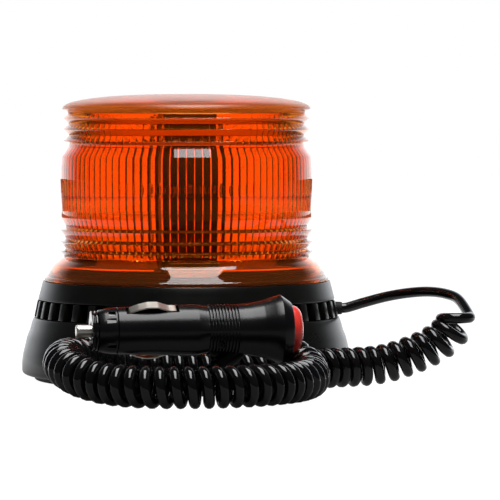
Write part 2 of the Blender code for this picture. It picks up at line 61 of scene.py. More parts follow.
# %% [markdown]
# ## The camera
#
# A long lens from a metre and a half keeps the beacon's sides nearly parallel, which is how a
# catalogue picture of a small product is taken. It looks down by only two or three degrees. It is
# also turned a little to the right, so that the beacon stands left of the middle and leaves room for
# the cord.

# %% Place the camera
CAMERA_SPOT = (0.0, -1.498, 0.119)
CAMERA_LENS = 244.8
LOOK_DOWN = math.radians(2.39)
LOOK_RIGHT = math.radians(1.07)

camera = bpy.data.objects.new("camera", bpy.data.cameras.new("camera"))
bpy.context.scene.collection.objects.link(camera)
bpy.context.scene.camera = camera
camera.location = CAMERA_SPOT
camera.rotation_euler = (math.pi / 2 - LOOK_DOWN, 0.0, -LOOK_RIGHT)
camera.data.lens = CAMERA_LENS
print("camera lens", CAMERA_LENS, "mm, looking down", round(math.degrees(LOOK_DOWN), 1), "degrees")

# %% [markdown]
# ## Finishes
#
# Moulded plastic is never one flat colour. Its gloss changes a little from place to place, and the
# mould leaves a fine grain. One function makes such a finish from noise on Object coordinates, so
# that the grain has a real size: the scales below are in waves per metre. The special finishes, such
# as the amber lens and the circuit boards, get their own functions later.


# %% A finish with grain
def link(tree, source, target):
    tree.links.new(source, target)


def noise(tree, scale, detail=3.0, stretch=None):
    """Noise over the piece's own space. stretch squeezes it along X, Y and Z."""
    place = tree.nodes.new("ShaderNodeTexCoord")
    vector = place.outputs["Object"]
    if stretch:
        mapping = tree.nodes.new("ShaderNodeMapping")
        mapping.inputs["Scale"].default_value = stretch
        link(tree, vector, mapping.inputs["Vector"])
        vector = mapping.outputs["Vector"]
    grain = tree.nodes.new("ShaderNodeTexNoise")
    grain.inputs["Scale"].default_value = scale
    grain.inputs["Detail"].default_value = detail
    link(tree, vector, grain.inputs["Vector"])
    return grain.outputs["Fac"]


def spread(tree, value, low, high):
    """Turn a noise value into one between low and high."""
    span = tree.nodes.new("ShaderNodeMapRange")
    span.inputs["From Min"].default_value = 0.3
    span.inputs["From Max"].default_value = 0.7
    span.inputs["To Min"].default_value = low
    span.inputs["To Max"].default_value = high
    link(tree, value, span.inputs["Value"])
    return span.outputs["Result"]


def eased(tree, value, start, end, low, high):
    """Go smoothly from low to high while a value goes from start to end."""
    step = tree.nodes.new("ShaderNodeMapRange")
    step.interpolation_type = "SMOOTHSTEP"
    step.inputs["From Min"].default_value = start
    step.inputs["From Max"].default_value = end
    step.inputs["To Min"].default_value = low
    step.inputs["To Max"].default_value = high
    link(tree, value, step.inputs["Value"])
    return step.outputs["Result"]


def maths(tree, operation, *values):
    """Work out one sum on sockets."""
    node = tree.nodes.new("ShaderNodeMath")
    node.operation = operation
    for value, socket in zip(values, node.inputs):
        link(tree, value, socket)
    return node.outputs["Value"]


def own_axis(tree, axis):
    """One coordinate of the piece's own space."""
    place = tree.nodes.new("ShaderNodeTexCoord")
    axes = tree.nodes.new("ShaderNodeSeparateXYZ")
    link(tree, place.outputs["Object"], axes.inputs["Vector"])
    return axes.outputs[axis]


def two_colours(tree, value, first, second):
    ramp = tree.nodes.new("ShaderNodeValToRGB")
    ramp.color_ramp.elements[0].position = 0.35
    ramp.color_ramp.elements[1].position = 0.65
    ramp.color_ramp.elements[0].color = (*first, 1.0)
    ramp.color_ramp.elements[1].color = (*second, 1.0)
    link(tree, value, ramp.inputs["Fac"])
    return ramp.outputs["Color"]


def bumped(tree, value, depth):
    bump = tree.nodes.new("ShaderNodeBump")
    bump.inputs["Strength"].default_value = 0.5
    bump.inputs["Distance"].default_value = depth
    link(tree, value, bump.inputs["Height"])
    return bump.outputs["Normal"]


def finish(name, colour, tint, rough, metal=0.0, grain=900.0, depth=0.00004, shine=0.5):
    """colour and tint are the two tones of the piece, and rough the range of its roughness."""
    material = bpy.data.materials.new(name)
    material.use_nodes = True
    tree = material.node_tree
    shader = tree.nodes["Principled BSDF"]
    patches = noise(tree, 60.0)
    link(tree, two_colours(tree, patches, colour, tint), shader.inputs["Base Color"])
    link(tree, spread(tree, patches, *rough), shader.inputs["Roughness"])
    link(tree, bumped(tree, noise(tree, grain, 2.0), depth), shader.inputs["Normal"])
    shader.inputs["Metallic"].default_value = metal
    shader.inputs["Specular IOR Level"].default_value = shine
    return material


BLACK = finish(
    "satin_black", (0.0042, 0.0042, 0.0036), (0.0058, 0.0058, 0.005), (0.27, 0.34), shine=0.4
)
PLUG_BLACK = finish(
    "plug_black", (0.004, 0.004, 0.005), (0.006, 0.006, 0.007), (0.2, 0.26), depth=0.00002, shine=0.36
)
GLOSS_BLACK = finish(
    "gloss_black", (0.006, 0.006, 0.007), (0.009, 0.009, 0.010), (0.06, 0.1), depth=0.000005
)
JACKET = finish(
    "cord_jacket", (0.003, 0.003, 0.0035), (0.005, 0.005, 0.0055), (0.07, 0.11), depth=0.000006
)
RUBBER = finish(
    "rubber", (0.006, 0.006, 0.006), (0.010, 0.010, 0.0095), (0.5, 0.65), depth=0.0001, shine=0.3
)
NICKEL = finish("nickel", (0.80, 0.75, 0.66), (0.88, 0.84, 0.77), (0.28, 0.38), 1.0)
DARK_STEEL = finish("black_steel", (0.05, 0.05, 0.05), (0.08, 0.08, 0.08), (0.3, 0.4), 1.0)
STEEL = finish("zinc_steel", (0.50, 0.50, 0.50), (0.60, 0.60, 0.62), (0.3, 0.45), 1.0)
ALUMINIUM = finish("aluminium", (0.16, 0.16, 0.17), (0.22, 0.22, 0.23), (0.35, 0.5), 1.0)
FERRITE = finish("ferrite", (0.05, 0.05, 0.055), (0.07, 0.07, 0.07), (0.5, 0.7), 0.2)
COPPER = finish("copper_wire", (0.55, 0.25, 0.12), (0.70, 0.36, 0.19), (0.3, 0.45), 1.0)
print("made", len(bpy.data.materials), "finishes")

# %% [markdown]
# ## The cord
#
# The cord is one length of 4.6 mm cable. It leaves the grommet straight, rises a little over its own
# stiffness, and turns down into a coil. The coil lies along the foot of the base, loops round in front
# of it and ends behind the plug, where the cable runs straight again to the strain relief.
#
# It could be a tube with a coil-shaped texture, but the gaps between the turns are what make a curly
# cord look real. So the middle line of the coil is a smooth curve through a few listed points, and a
# loop winds the cable round it.


# %% A smooth route
CORD_R = 2.3
COIL_R = 8.6
WIND_R = COIL_R - CORD_R
COIL_PITCH = 5.6
EXIT = (68.8, 0.0, 30.8)

LEAD_ROUTE = [
    EXIT, (71.5, -0.1, 31.2), (78.0, -0.6, 33.2), (88.0, -3.2, 36.0), (97.5, -8.0, 37.9),
    (106.0, -15.0, 38.8), (113.0, -24.5, 38.3), (117.6, -34.0, 36.2), (119.4, -40.8, 34.0),
]
COIL_ROUTE = [
    (115.4, -50.0, 31.4), (113.6, -50.3, 25.2), (108.6, -50.8, 20.2), (102.9, -51.2, 16.8),
    (97.3, -51.6, 14.3), (92.0, -52.0, 12.4), (86.0, -52.4, 10.6), (78.0, -53.2, 9.3),
    (66.5, -57.0, 8.9), (55.0, -63.5, 8.9), (42.0, -71.5, 8.9), (26.0, -78.6, 8.9),
    (8.0, -82.6, 8.9), (-10.0, -83.8, 9.6), (-26.0, -86.0, 12.4), (-39.0, -92.0, 15.2),
    (-47.2, -102.0, 16.2), (-49.8, -114.0, 16.0), (-48.8, -127.0, 14.6), (-42.8, -140.5, 12.0),
    (-31.6, -150.2, 9.6), (-16.5, -158.2, 8.9), (1.0, -160.4, 8.9), (17.0, -157.4, 8.9),
    (30.5, -149.8, 8.9), (41.5, -138.3, 9.0), (48.3, -125.0, 9.2), (50.2, -112.0, 9.6),
    (49.0, -102.0, 11.8), (45.0, -94.6, 14.9), (38.0, -91.2, 17.0),
]
TAIL_ROUTE = [
    (32.6, -98.0, 8.3), (29.0, -101.4, 6.8), (22.0, -104.4, 4.8), (12.0, -104.8, 3.2),
    (2.0, -103.2, 2.6), (-9.0, -101.8, 2.5), (-19.0, -104.4, 2.5), (-23.2, -111.2, 2.5),
    (-19.6, -117.6, 2.5), (-12.5, -119.4, 2.5), (-5.0, -118.3, 2.6), (-0.8, -117.4, 3.3),
    (2.2, -116.9, 4.9), (4.45, -116.55, 6.6),
]


def spline_point(before, start, end, after, t):
    """A point on the Catmull-Rom curve between start and end."""
    return 0.5 * (
        2 * start
        + (end - before) * t
        + (2 * before - 5 * start + 4 * end - after) * t**2
        + (3 * start - before - 3 * end + after) * t**3
    )


def smooth_route(points, spacing):
    """Even points along one smooth curve through a route's own points."""
    knots = [Vector(p) for p in points]
    knots = [2 * knots[0] - knots[1], *knots, 2 * knots[-1] - knots[-2]]
    steps = 40
    fine = [
        spline_point(*knots[i : i + 4], step / steps)
        for i in range(len(knots) - 3)
        for step in range(steps)
    ]
    fine.append(knots[-2])
    run = [0.0]
    for a, b in zip(fine, fine[1:]):
        run.append(run[-1] + (b - a).length)
    count = max(2, round(run[-1] / spacing))
    even, index = [], 0
    for k in range(count + 1):
        want = run[-1] * k / count
        while index < len(fine) - 2 and run[index + 1] < want:
            index += 1
        share = (want - run[index]) / (run[index + 1] - run[index])
        even.append(fine[index].lerp(fine[index + 1], share))
    return even


# %% Wind the coil
def carried_frames(line):
    """The direction at each point of a line, and a side that never twists about it."""
    ways = [(b - a).normalized() for a, b in zip(line, line[1:])]
    ways.append(ways[-1])
    side = Vector((1, 0, 0)) - ways[0] * ways[0].x
    sides = []
    for way in ways:
        side = (side - way * side.dot(way)).normalized()
        sides.append(side)
    return ways, sides


def wound_cable(route, radius, pitch, end_side):
    """The cable's own line round a route, right-handed. Its last point lies towards end_side."""
    line = smooth_route(route, 0.25)
    ways, sides = carried_frames(line)
    length = 0.25 * (len(line) - 1)
    last = end_side - ways[-1] * end_side.dot(ways[-1])
    phase = math.atan2(last.dot(ways[-1].cross(sides[-1])), last.dot(sides[-1]))
    # the first turns are pulled open, so they take more of the route than the others
    run = [0.0]
    for k in range(1, len(line)):
        run.append(run[-1] + 1 / (1 + 0.5 * math.exp(-0.25 * k / 9.0)))
    turns = round(0.25 * run[-1] / pitch - phase / math.tau) + phase / math.tau
    wound = []
    for part, spot, way, side in zip(run, line, ways, sides):
        angle = math.tau * turns * part / run[-1]
        out = side * math.cos(angle) + way.cross(side) * math.sin(angle)
        # the first turn is a little tighter than the rest
        tighter = min(1.0, 0.94 + 0.005 * part)
        wound.append(spot + out * radius * tighter)
    print("the coil has", round(turns, 1), "turns along", round(length), "mm")
    return wound


def nearest_step(line, spot):
    """The number of the point of a line that lies nearest to a spot."""
    return min(range(len(line)), key=lambda k: (line[k] - spot).length)


coil_line = wound_cable(COIL_ROUTE, WIND_R, COIL_PITCH, Vector((0, 0, -1)))
sleeve_line = [(61.0, 0.0, 30.8), (65.0, 0.0, 30.8)]
lead_line = smooth_route(
    [*sleeve_line, *LEAD_ROUTE[:-1], coil_line[0], coil_line[3], coil_line[6]], 1.2
)
lead_line = lead_line[: nearest_step(lead_line, coil_line[0])]
tail_line = smooth_route([coil_line[-7], coil_line[-4], coil_line[-1], *TAIL_ROUTE[1:]], 1.2)
tail_line = tail_line[nearest_step(tail_line, coil_line[-1]) + 1 :]
cable_line = lead_line + coil_line + tail_line


# %% The cable as one curve
def cable_curve(name, line, radius, material, sides=4):
    curve = bpy.data.curves.new(name, "CURVE")
    curve.dimensions = "3D"
    curve.bevel_depth = radius * MM
    curve.bevel_resolution = sides
    curve.use_fill_caps = True
    spline = curve.splines.new("POLY")
    spline.points.add(len(line) - 1)
    for knot, spot in zip(spline.points, line):
        knot.co = (*(spot * MM), 1.0)
    spline.use_smooth = True
    curve.materials.append(material)
    piece = bpy.data.objects.new(name, curve)
    bpy.context.scene.collection.objects.link(piece)
    return piece


cable = cable_curve("curly_cord", cable_line, CORD_R, JACKET)
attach(cable, "root")
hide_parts("cord_lead", "cord_coil", "cord_tail")

# %% [markdown]
# ## Turned shapes
#
# Nearly every piece of the beacon and of the plug is round, so a profile spun about an axis makes it.
# A real moulding has no perfectly sharp edge, and the small radius on each corner is what catches the
# light. soften rounds the corners of a profile before it is spun.


# %% Round a profile and spin it
def soften(profile, radius, arcs=3, closed=False):
    """Round each corner of a profile by a short curve."""
    points = [Vector((*p, 0.0)) for p in profile]
    count = len(points)
    rounded = []
    for k, corner in enumerate(points):
        if not closed and k in (0, count - 1):
            rounded.append(corner)
            continue
        back = points[k - 1] - corner
        ahead = points[(k + 1) % count] - corner
        reach = min(radius, 0.45 * back.length, 0.45 * ahead.length)
        start = corner + back.normalized() * reach
        end = corner + ahead.normalized() * reach
        for step in range(arcs + 1):
            t = step / arcs
            rounded.append(start * (1 - t) ** 2 + corner * 2 * t * (1 - t) + end * t**2)
    return [(p.x, p.y) for p in rounded]


def spun(profile, steps, closed=False):
    """A bmesh turned about Z from (radius, height) points in millimetres."""
    shape = bmesh.new()
    line = [shape.verts.new((r * MM, 0.0, z * MM)) for r, z in profile]
    edges = [shape.edges.new(pair) for pair in zip(line, line[1:])]
    if closed:
        edges.append(shape.edges.new((line[-1], line[0])))
    bmesh.ops.spin(
        shape, geom=line + edges, cent=(0, 0, 0), axis=(0, 0, 1), dvec=(0, 0, 0),
        angle=math.tau, steps=steps, use_merge=True, use_normal_flip=False, use_duplicate=False,
    )
    bmesh.ops.remove_doubles(shape, verts=shape.verts, dist=0.0000005)
    bmesh.ops.recalc_face_normals(shape, faces=shape.faces)
    return shape


def add_piece(name, shape, material, body="root", stands_for=(), sharp=35):
    """Turn a bmesh into a piece that rides on a body and stands for some CAD nodes."""
    mesh = bpy.data.meshes.new(name)
    shape.to_mesh(mesh)
    shape.free()
    mesh.shade_smooth()
    mesh.set_sharp_from_angle(angle=math.radians(sharp))
    mesh.materials.append(material)
    piece = bpy.data.objects.new(name, mesh)
    bpy.context.scene.collection.objects.link(piece)
    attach(piece, body)
    if stands_for:
        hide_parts(*stands_for)
    return piece


def box_into(shape, size, matrix):
    """Add a box in millimetres to a bmesh, placed by a matrix. It returns the box's vertices."""
    made = bmesh.ops.create_cube(shape, size=1.0)["verts"]
    bmesh.ops.scale(shape, vec=Vector(size) * MM, verts=made)
    bmesh.ops.transform(shape, matrix=matrix, verts=made)
    return made


def bevel_all(shape, width, segments=2):
    bmesh.ops.bevel(
        shape, geom=list(shape.edges), offset=width * MM, affect="EDGES", segments=segments,
        profile=0.5, material=-1, offset_type="OFFSET", clamp_overlap=True,
    )


# %% [markdown]
# ## The amber lens
#
# The lens is one moulding. Rings of prisms at the top and bottom bend the light towards the horizon,
# and a hundred upright flutes inside spread it sideways. Both have to be real geometry, because the
# pattern of dark and bright blocks comes from light that passes through all of them.
#
# The profile runs from the middle of the dome down the outside and up the inside. It is spun in six
# hundred steps, six to a flute. Each flute is a nearly flat strip between two narrow grooves, so the
# steps of the inner wall are gathered towards the grooves and pushed in between them.

# %% Amber plastic
AMBER_TINT = (1.0, 0.26, 0.02)
AMBER_CLEAR = 0.94
FROST_START = 0.1170
FROST_END = 0.1195


def dome_frost(tree, patches):
    """Roughness that is low on the walls and high on the dome, which is lightly frosted."""
    frost = eased(tree, own_axis(tree, "Z"), FROST_START, FROST_END, 0.0, 0.3)
    return maths(tree, "ADD", spread(tree, patches, 0.02, 0.05), frost)


def amber_plastic():
    material = bpy.data.materials.new("amber_plastic")
    material.use_nodes = True
    tree = material.node_tree
    shader = tree.nodes["Principled BSDF"]
    shader.inputs["Transmission Weight"].default_value = AMBER_CLEAR
    shader.inputs["IOR"].default_value = 1.5
    patches = noise(tree, 25.0)
    warm = two_colours(tree, patches, AMBER_TINT, tuple(c * 0.96 for c in AMBER_TINT))
    link(tree, warm, shader.inputs["Base Color"])
    link(tree, dome_frost(tree, patches), shader.inputs["Roughness"])
    ripple = noise(tree, 60.0, 1.0)
    link(tree, bumped(tree, ripple, 0.00001), shader.inputs["Normal"])
    return material


AMBER = amber_plastic()

# %% The lens profile
lens_low, lens_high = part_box("lens")
LENS_BOTTOM = lens_low[2] / MM
DOME_TOP = lens_high[2] / MM
TIP_R = 54.6
DOME_FOOT = 118.6
FLUTES = 100
FLUTE_STEPS = 6
FLUTE_LOW = 57.0
FLUTE_HIGH = 114.0
WALL_LOW, WALL_MIDDLE, WALL_HIGH = 51.2, 52.4, 49.6


def dome_line(foot_r, foot, top, roundness, count):
    """A flattened round, from the middle of the dome to its foot."""
    turns = [math.pi / 2 * k / count for k in range(count + 1)]
    return [
        (
            foot_r * math.sin(t) ** (2 / roundness),
            foot + (top - foot) * math.cos(t) ** (2 / roundness),
        )
        for t in turns
    ]


dome = dome_line(TIP_R, DOME_FOOT, DOME_TOP, 2.3, 16)
top_rings = [(52.3, 117.0), (TIP_R, 114.6), (52.2, 112.2), (TIP_R, 109.8), (52.0, 107.2)]
top_rings += [(TIP_R, 104.6), (52.0, 103.2), (52.2, 102.0)]
barrel = [(55.0, 97.9), (55.4, 93.0), (55.5, 88.0), (55.4, 82.0), (54.9, 74.0), (55.3, 71.1)]
low_rings = [(53.3, 67.0), (56.1, 65.9), (53.3, 61.9), (56.1, 60.7), (53.3, 57.6)]
low_rings += [(56.3, 56.5), (54.0, 53.9)]
skirt = [(58.4, 50.4), (60.2, 47.7), (61.8, 45.1), (62.6, 44.6)]
skirt += [(62.6, LENS_BOTTOM)]
inner = [(59.9, LENS_BOTTOM), (59.0, 46.0), (57.6, 48.4), (55.4, 50.6), (WALL_LOW, 54.6)]
inner += [(WALL_LOW, 71.0), (WALL_MIDDLE, 76.0), (WALL_MIDDLE, 97.0), (WALL_HIGH, 102.0)]
inner += [(WALL_HIGH, 115.5), (47.0, 117.6)]
inner += dome_line(45.0, 118.0, DOME_TOP - 3.0, 2.3, 8)[::-1]
outer_line = soften(dome[-2:] + top_rings + barrel + low_rings + skirt, 0.16, 1)
lens_profile = dome[:-2] + outer_line + inner
print("the lens profile has", len(lens_profile), "points")


# %% Spin the lens and press in the flutes
# how far round its flute each step lies, and how far it stands in from the groove
FLUTE_SHAPE = [(0.0, 0.0), (0.11, 0.27), (0.28, 0.35), (0.5, 0.38), (0.72, 0.35), (0.89, 0.27)]


def press_flutes(shape):
    """Push the inner wall inwards between evenly spaced upright grooves."""
    for vert in shape.verts:
        radius = math.hypot(vert.co.x, vert.co.y) / MM
        height = vert.co.z / MM
        inside = radius < 52.5 and FLUTE_LOW <= height <= FLUTE_HIGH
        on_wall = min(abs(radius - r) for r in (WALL_LOW, WALL_MIDDLE, WALL_HIGH)) < 0.05
        if not (inside and on_wall):
            continue
        angle = math.atan2(vert.co.y, vert.co.x) % math.tau
        number = round(angle / math.tau * FLUTES * FLUTE_STEPS)
        flute, step = divmod(number, FLUTE_STEPS)
        share, depth = FLUTE_SHAPE[step]
        angle = math.tau * (flute + share) / FLUTES
        radius -= depth
        vert.co.x = radius * MM * math.cos(angle)
        vert.co.y = radius * MM * math.sin(angle)


# two more points at each end of the flutes let them start and stop short
fluted = []
for start, end in zip(lens_profile, lens_profile[1:]):
    fluted.append(start)
    if start[0] == end[0] == WALL_LOW:
        fluted += [(WALL_LOW, FLUTE_LOW - 1.5), (WALL_LOW, FLUTE_LOW)]
    if start[0] == end[0] == WALL_HIGH:
        fluted += [(WALL_HIGH, FLUTE_HIGH), (WALL_HIGH, FLUTE_HIGH + 0.8)]
fluted.append(lens_profile[-1])
lens_shape = spun(fluted, FLUTES * FLUTE_STEPS)
press_flutes(lens_shape)
lens = add_piece("amber_lens", lens_shape, AMBER, stands_for=["lens"], sharp=30)
print("the lens has", len(lens.data.polygons), "faces")

# %% [markdown]
# ## The housing
#
# Three black mouldings stack under the lens: a cone with the deck that closes the lens, a ring of
# louvres, and the base. The faces of the louvres carry on the slope of the cones, so each fin is a
# tapered box sunk into the ring's wall.

# %% Upper cone and deck
def join_shape(shape, extra, name):
    """Add one bmesh to another, and free it."""
    mesh = bpy.data.meshes.new(name)
    extra.to_mesh(mesh)
    extra.free()
    shape.from_mesh(mesh)
    bpy.data.meshes.remove(mesh)


cone = [(63.2, 43.2), (64.1, 39.6), (64.7, 37.4), (65.3, 35.1), (62.3, 35.1), (61.0, 40.0)]
deck = [(8.0, 40.0), (8.0, 43.0), (53.0, 43.0), (53.0, 49.0), (56.0, 49.0), (56.0, 47.9)]
groove = [(54.9, 47.9), (54.9, 45.5), (56.0, 45.5), (56.0, 43.2)]
upper = spun(soften(cone + deck + groove, 0.5, 2, True), 160, True)
SCREW_CIRCLES = ((4, 45, 54.0, 4.5, 33.3), (3, 90, 32.0, 3.2, 31.9))
for count, first, circle, boss_r, low in SCREW_CIRCLES:
    for k in range(count):
        turn = math.radians(first + 360 / count * k)
        boss = spun([(boss_r, 40.2), (boss_r, low), (1.9, low), (1.9, 40.2)], 24, True)
        spot = Vector((circle * math.cos(turn), circle * math.sin(turn), 0)) * MM
        bmesh.ops.translate(boss, vec=spot, verts=boss.verts)
        join_shape(upper, boss, "boss")
add_piece("upper_cone", upper, BLACK, stands_for=["upper_housing"])

# %% Louvre ring
LOUVRES = 45
FIN_LOW, FIN_HIGH = 27.6, 34.8
FIN_R = 63.35
band = [(61.5, FIN_HIGH), (61.5, FIN_LOW), (59.0, FIN_LOW), (59.0, FIN_HIGH)]
louvres = spun(soften(band, 0.2, 2, True), 180, True)
fins = bmesh.new()
for k in range(1, LOUVRES):
    turn = Matrix.Rotation(math.tau * k / LOUVRES, 4, "Z")
    shift = Matrix.Translation(Vector((FIN_R, 0, (FIN_LOW + FIN_HIGH) / 2)) * MM)
    fin = box_into(fins, (4.4, 3.7, FIN_HIGH - FIN_LOW), shift)
    # the foot of each fin stands out further, along the slope of the cones
    for vert in fin:
        if vert.co.x > FIN_R * MM and vert.co.z < 31 * MM:
            vert.co.x += 1.5 * MM
    bmesh.ops.transform(fins, matrix=turn, verts=fin)
bevel_all(fins, 0.35)
join_shape(louvres, fins, "fins")
add_piece("louvre_band", louvres, BLACK, stands_for=["louvre_ring"])

# %% Base moulding and rubber pad
wall = [(67.2, 27.3), (68.1, 25.0), (68.9, 22.0), (70.3, 18.5), (71.1, 15.0), (72.0, 11.5)]
wall += [(72.5, 7.9), (72.5, 3.9), (72.1, 2.9), (71.0, 2.3), (43.0, 2.3), (43.0, 5.3)]
wall += [(68.6, 5.3), (69.4, 8.0), (68.9, 11.5), (65.8, 22.0), (64.2, 27.3)]
base = spun(soften(wall, 0.6, 2, True), 160, True)
add_piece("base_moulding", base, BLACK, stands_for=["lower_housing"])
pad = spun(soften([(0, 2.0), (67, 2.0), (67, 0.4), (66.6, 0), (0, 0)], 0.2, 2), 160)
add_piece("rubber_pad", pad, RUBBER, stands_for=["base_pad"])

# %% [markdown]
# ## The grommet
#
# A soft rubber grommet guides the cable out through the louvres. It is slim, because it has to fit
# in the height of the band.

# %% Grommet
sleeve = [(2.35, 68.5), (2.75, 68.5), (2.95, 64.5), (2.95, 58.6), (4.5, 58.6), (4.5, 56.2)]
sleeve += [(2.35, 56.2)]
grommet = spun(soften(sleeve, 0.2, 2, True), 40, True)
along_x = Matrix.Translation((0, 0, EXIT[2] * MM)) @ Matrix.Rotation(math.pi / 2, 4, "Y")
bmesh.ops.transform(grommet, matrix=along_x, verts=grommet.verts)
add_piece("cable_sleeve", grommet, RUBBER, stands_for=["cable_grommet"])

# %% [markdown]
# ## The plug
#
# The plug lies across the coil with its tip towards the left. Its pieces are spun about their own
# axis and then moved to that place by one matrix, which comes from the nose cap's joint. So Z runs
# from the tip to the switch, Y is up, and -X faces the viewer.

# %% Where the plug lies
joints = {joint["name"]: joint for joint in frame["joints"]}
cap_joint = joints["nose_cap_turn"]
plug_along = -Vector(cap_joint["axis"])
plug_up = Vector((0, 0, 1))
PLUG = Matrix((plug_up.cross(plug_along), plug_up, plug_along)).transposed().to_4x4()
PLUG = Matrix.Translation(Vector(cap_joint["pos_m"])) @ PLUG


def add_plug_piece(name, shape, material, body="root", stands_for=(), sharp=35):
    bmesh.ops.transform(shape, matrix=PLUG, verts=shape.verts)
    piece = add_piece(name, shape, material, body, stands_for, sharp)
    return piece


print("the plug's tip is at", [round(v, 4) for v in cap_joint["pos_m"]])

# %% [markdown]
# ### Its two half shells
#
# The body is moulded as two halves that meet on an upright seam. Ten fine grooves cross the top and
# bottom of the grip and fade out at the sides. The whole shell is spun first, the grooves are pressed
# in, and a plane then cuts it in two. A Boolean opens the slots for the ground contacts.

# %% Shell profile
GRIP_FIRST, GRIP_PITCH, GRIP_COUNT = 54.1, 1.33, 10
GRIP_DEPTH = 0.8
SHELL_R = 10.4
SHELL_END = 88.9
shell_outside = [(10.9, SHELL_END), (11.3, 88.5), (14.0, 84.7), (14.1, 84.2), (13.05, 81.1)]
shell_outside += [(11.7, 77.0), (10.75, 72.0), (SHELL_R, 67.9)]
grip = [(SHELL_R, 67.9 - GRIP_PITCH / 8 * k) for k in range(1, 84)]
shell_front = [(SHELL_R, 50.0), (SHELL_R, 43.2), (9.95, 30.0), (9.6, 17.2), (7.3, 17.2), (7.3, 11.6)]
shell_inside = [(5.0, 11.6), (5.0, 18.6), (8.2, 19.0), (8.2, 55.3), (3.0, 55.3), (3.0, 69.5)]
shell_inside += [(9.0, 69.5), (9.0, 83.4), (10.05, 83.4), (10.05, SHELL_END)]
shell_profile = shell_outside + grip + shell_front + shell_inside


def press_grip(shape):
    """Press the grip's grooves in, deepest at the top and bottom of the body."""
    for vert in shape.verts:
        radius = math.hypot(vert.co.x, vert.co.y) / MM
        height = vert.co.z / MM
        wave = (height - GRIP_FIRST) / GRIP_PITCH
        if abs(radius - SHELL_R) > 0.02 or not -0.5 < wave < GRIP_COUNT - 0.5:
            continue
        groove = max(0.0, math.cos(math.tau * wave)) ** 0.8
        fade = min(1.0, max(0.0, abs(vert.co.y) / MM / radius - 0.06) / 0.3)
        depth = GRIP_DEPTH * groove * fade
        vert.co.x *= (radius - depth) / radius
        vert.co.y *= (radius - depth) / radius


# %% Cut the halves and open their slots
CONTACT_TURN = math.radians(27)
RELIEF_TILT = math.radians(40)
RELIEF_STATION = 64.5
SEAM = 0.15


def relief_place():
    """A matrix whose Z points out of the plug's underside, along the strain relief."""
    out = Vector((0, -math.sin(RELIEF_TILT), -math.cos(RELIEF_TILT)))
    turn = out.to_track_quat("Z", "Y").to_matrix().to_4x4()
    return Matrix.Translation(Vector((0, -SHELL_R, RELIEF_STATION)) * MM) @ turn


def screw_place():
    """A matrix whose Z points out of the front shell, along the shell screw."""
    turn = Vector((-1, 0, 0)).to_track_quat("Z", "Y").to_matrix().to_4x4()
    return Matrix.Translation(Vector((0, -5.7, 59.0)) * MM) @ turn


def cut_away(piece, cutter):
    """Cut a bmesh out of a finished piece, and keep the result as its mesh."""
    mesh = bpy.data.meshes.new("cutter")
    cutter.to_mesh(mesh)
    cutter.free()
    tool = bpy.data.objects.new("cutter", mesh)
    bpy.context.scene.collection.objects.link(tool)
    step = piece.modifiers.new("cut", "BOOLEAN")
    step.operation = "DIFFERENCE"
    step.object = tool
    bpy.context.view_layer.update()
    graph = bpy.context.evaluated_depsgraph_get()
    made = bpy.data.meshes.new_from_object(piece.evaluated_get(graph))
    piece.modifiers.clear()
    made.shade_smooth()
    made.set_sharp_from_angle(angle=math.radians(35))
    old = piece.data
    piece.data = made
    made.name = piece.name
    bpy.data.meshes.remove(old)
    bpy.data.objects.remove(tool)
    bpy.data.meshes.remove(mesh)


for half, sign, slot_turn in (("front", -1, CONTACT_TURN), ("back", 1, CONTACT_TURN + math.pi)):
    shell = spun(soften(shell_profile, 0.12, 1, True), 96, True)
    press_grip(shell)
    cut = bmesh.ops.bisect_plane(
        shell, geom=list(shell.verts) + list(shell.edges) + list(shell.faces), dist=0.0000001,
        plane_co=(sign * SEAM * MM, 0, 0), plane_no=(-sign, 0, 0), clear_outer=True,
    )
    rim = [e for e in cut["geom_cut"] if isinstance(e, bmesh.types.BMEdge)]
    bmesh.ops.edgenet_fill(shell, edges=rim)
    bmesh.ops.recalc_face_normals(shell, faces=shell.faces)
    piece = add_plug_piece(
        f"plug_half_{half}", shell, PLUG_BLACK, stands_for=[f"plug_shell_{half}"]
    )
    slot = bmesh.new()
    at_slot = Matrix.Rotation(slot_turn, 4, "Z") @ Matrix.Translation(Vector((0, 11.0, 31.3)) * MM)
    box_into(slot, (5.2, 10.0, 21.6), PLUG @ at_slot)
    cut_away(piece, slot)
    bore = spun([(0, 20.0), (4.3, 20.0), (4.3, -3.9), (0, -3.9)], 32)
    bmesh.ops.transform(bore, matrix=PLUG @ relief_place(), verts=bore.verts)
    cut_away(piece, bore)
    if half == "front":
        bore = spun([(0, 14), (1.6, 14), (1.6, -6.4), (0, -6.4)], 32)
        bmesh.ops.transform(bore, matrix=PLUG @ screw_place(), verts=bore.verts)
        cut_away(piece, bore)
    print(piece.name, "has", len(piece.data.polygons), "faces")

# %% [markdown]
# ### Screw, nose cap and nose ring
#
# The nose cap screws off to change the fuse. Small polished notches in its rim give the fingers a
# grip, and the ring in front of it has one fine groove.

# %% Screw, cap and ring
screw_line = [(0, 7.0), (0.6, 7.2), (0.7, 8.0), (1.4, 7.8), (1.4, 6.4), (1.1, 6.4), (1.1, -6.0)]
screw = spun(soften([*screw_line, (0, -6.0)], 0.15, 2), 24)
bmesh.ops.transform(screw, matrix=screw_place(), verts=screw.verts)
add_plug_piece("shell_screw", screw, DARK_STEEL, stands_for=["plug_screw"])

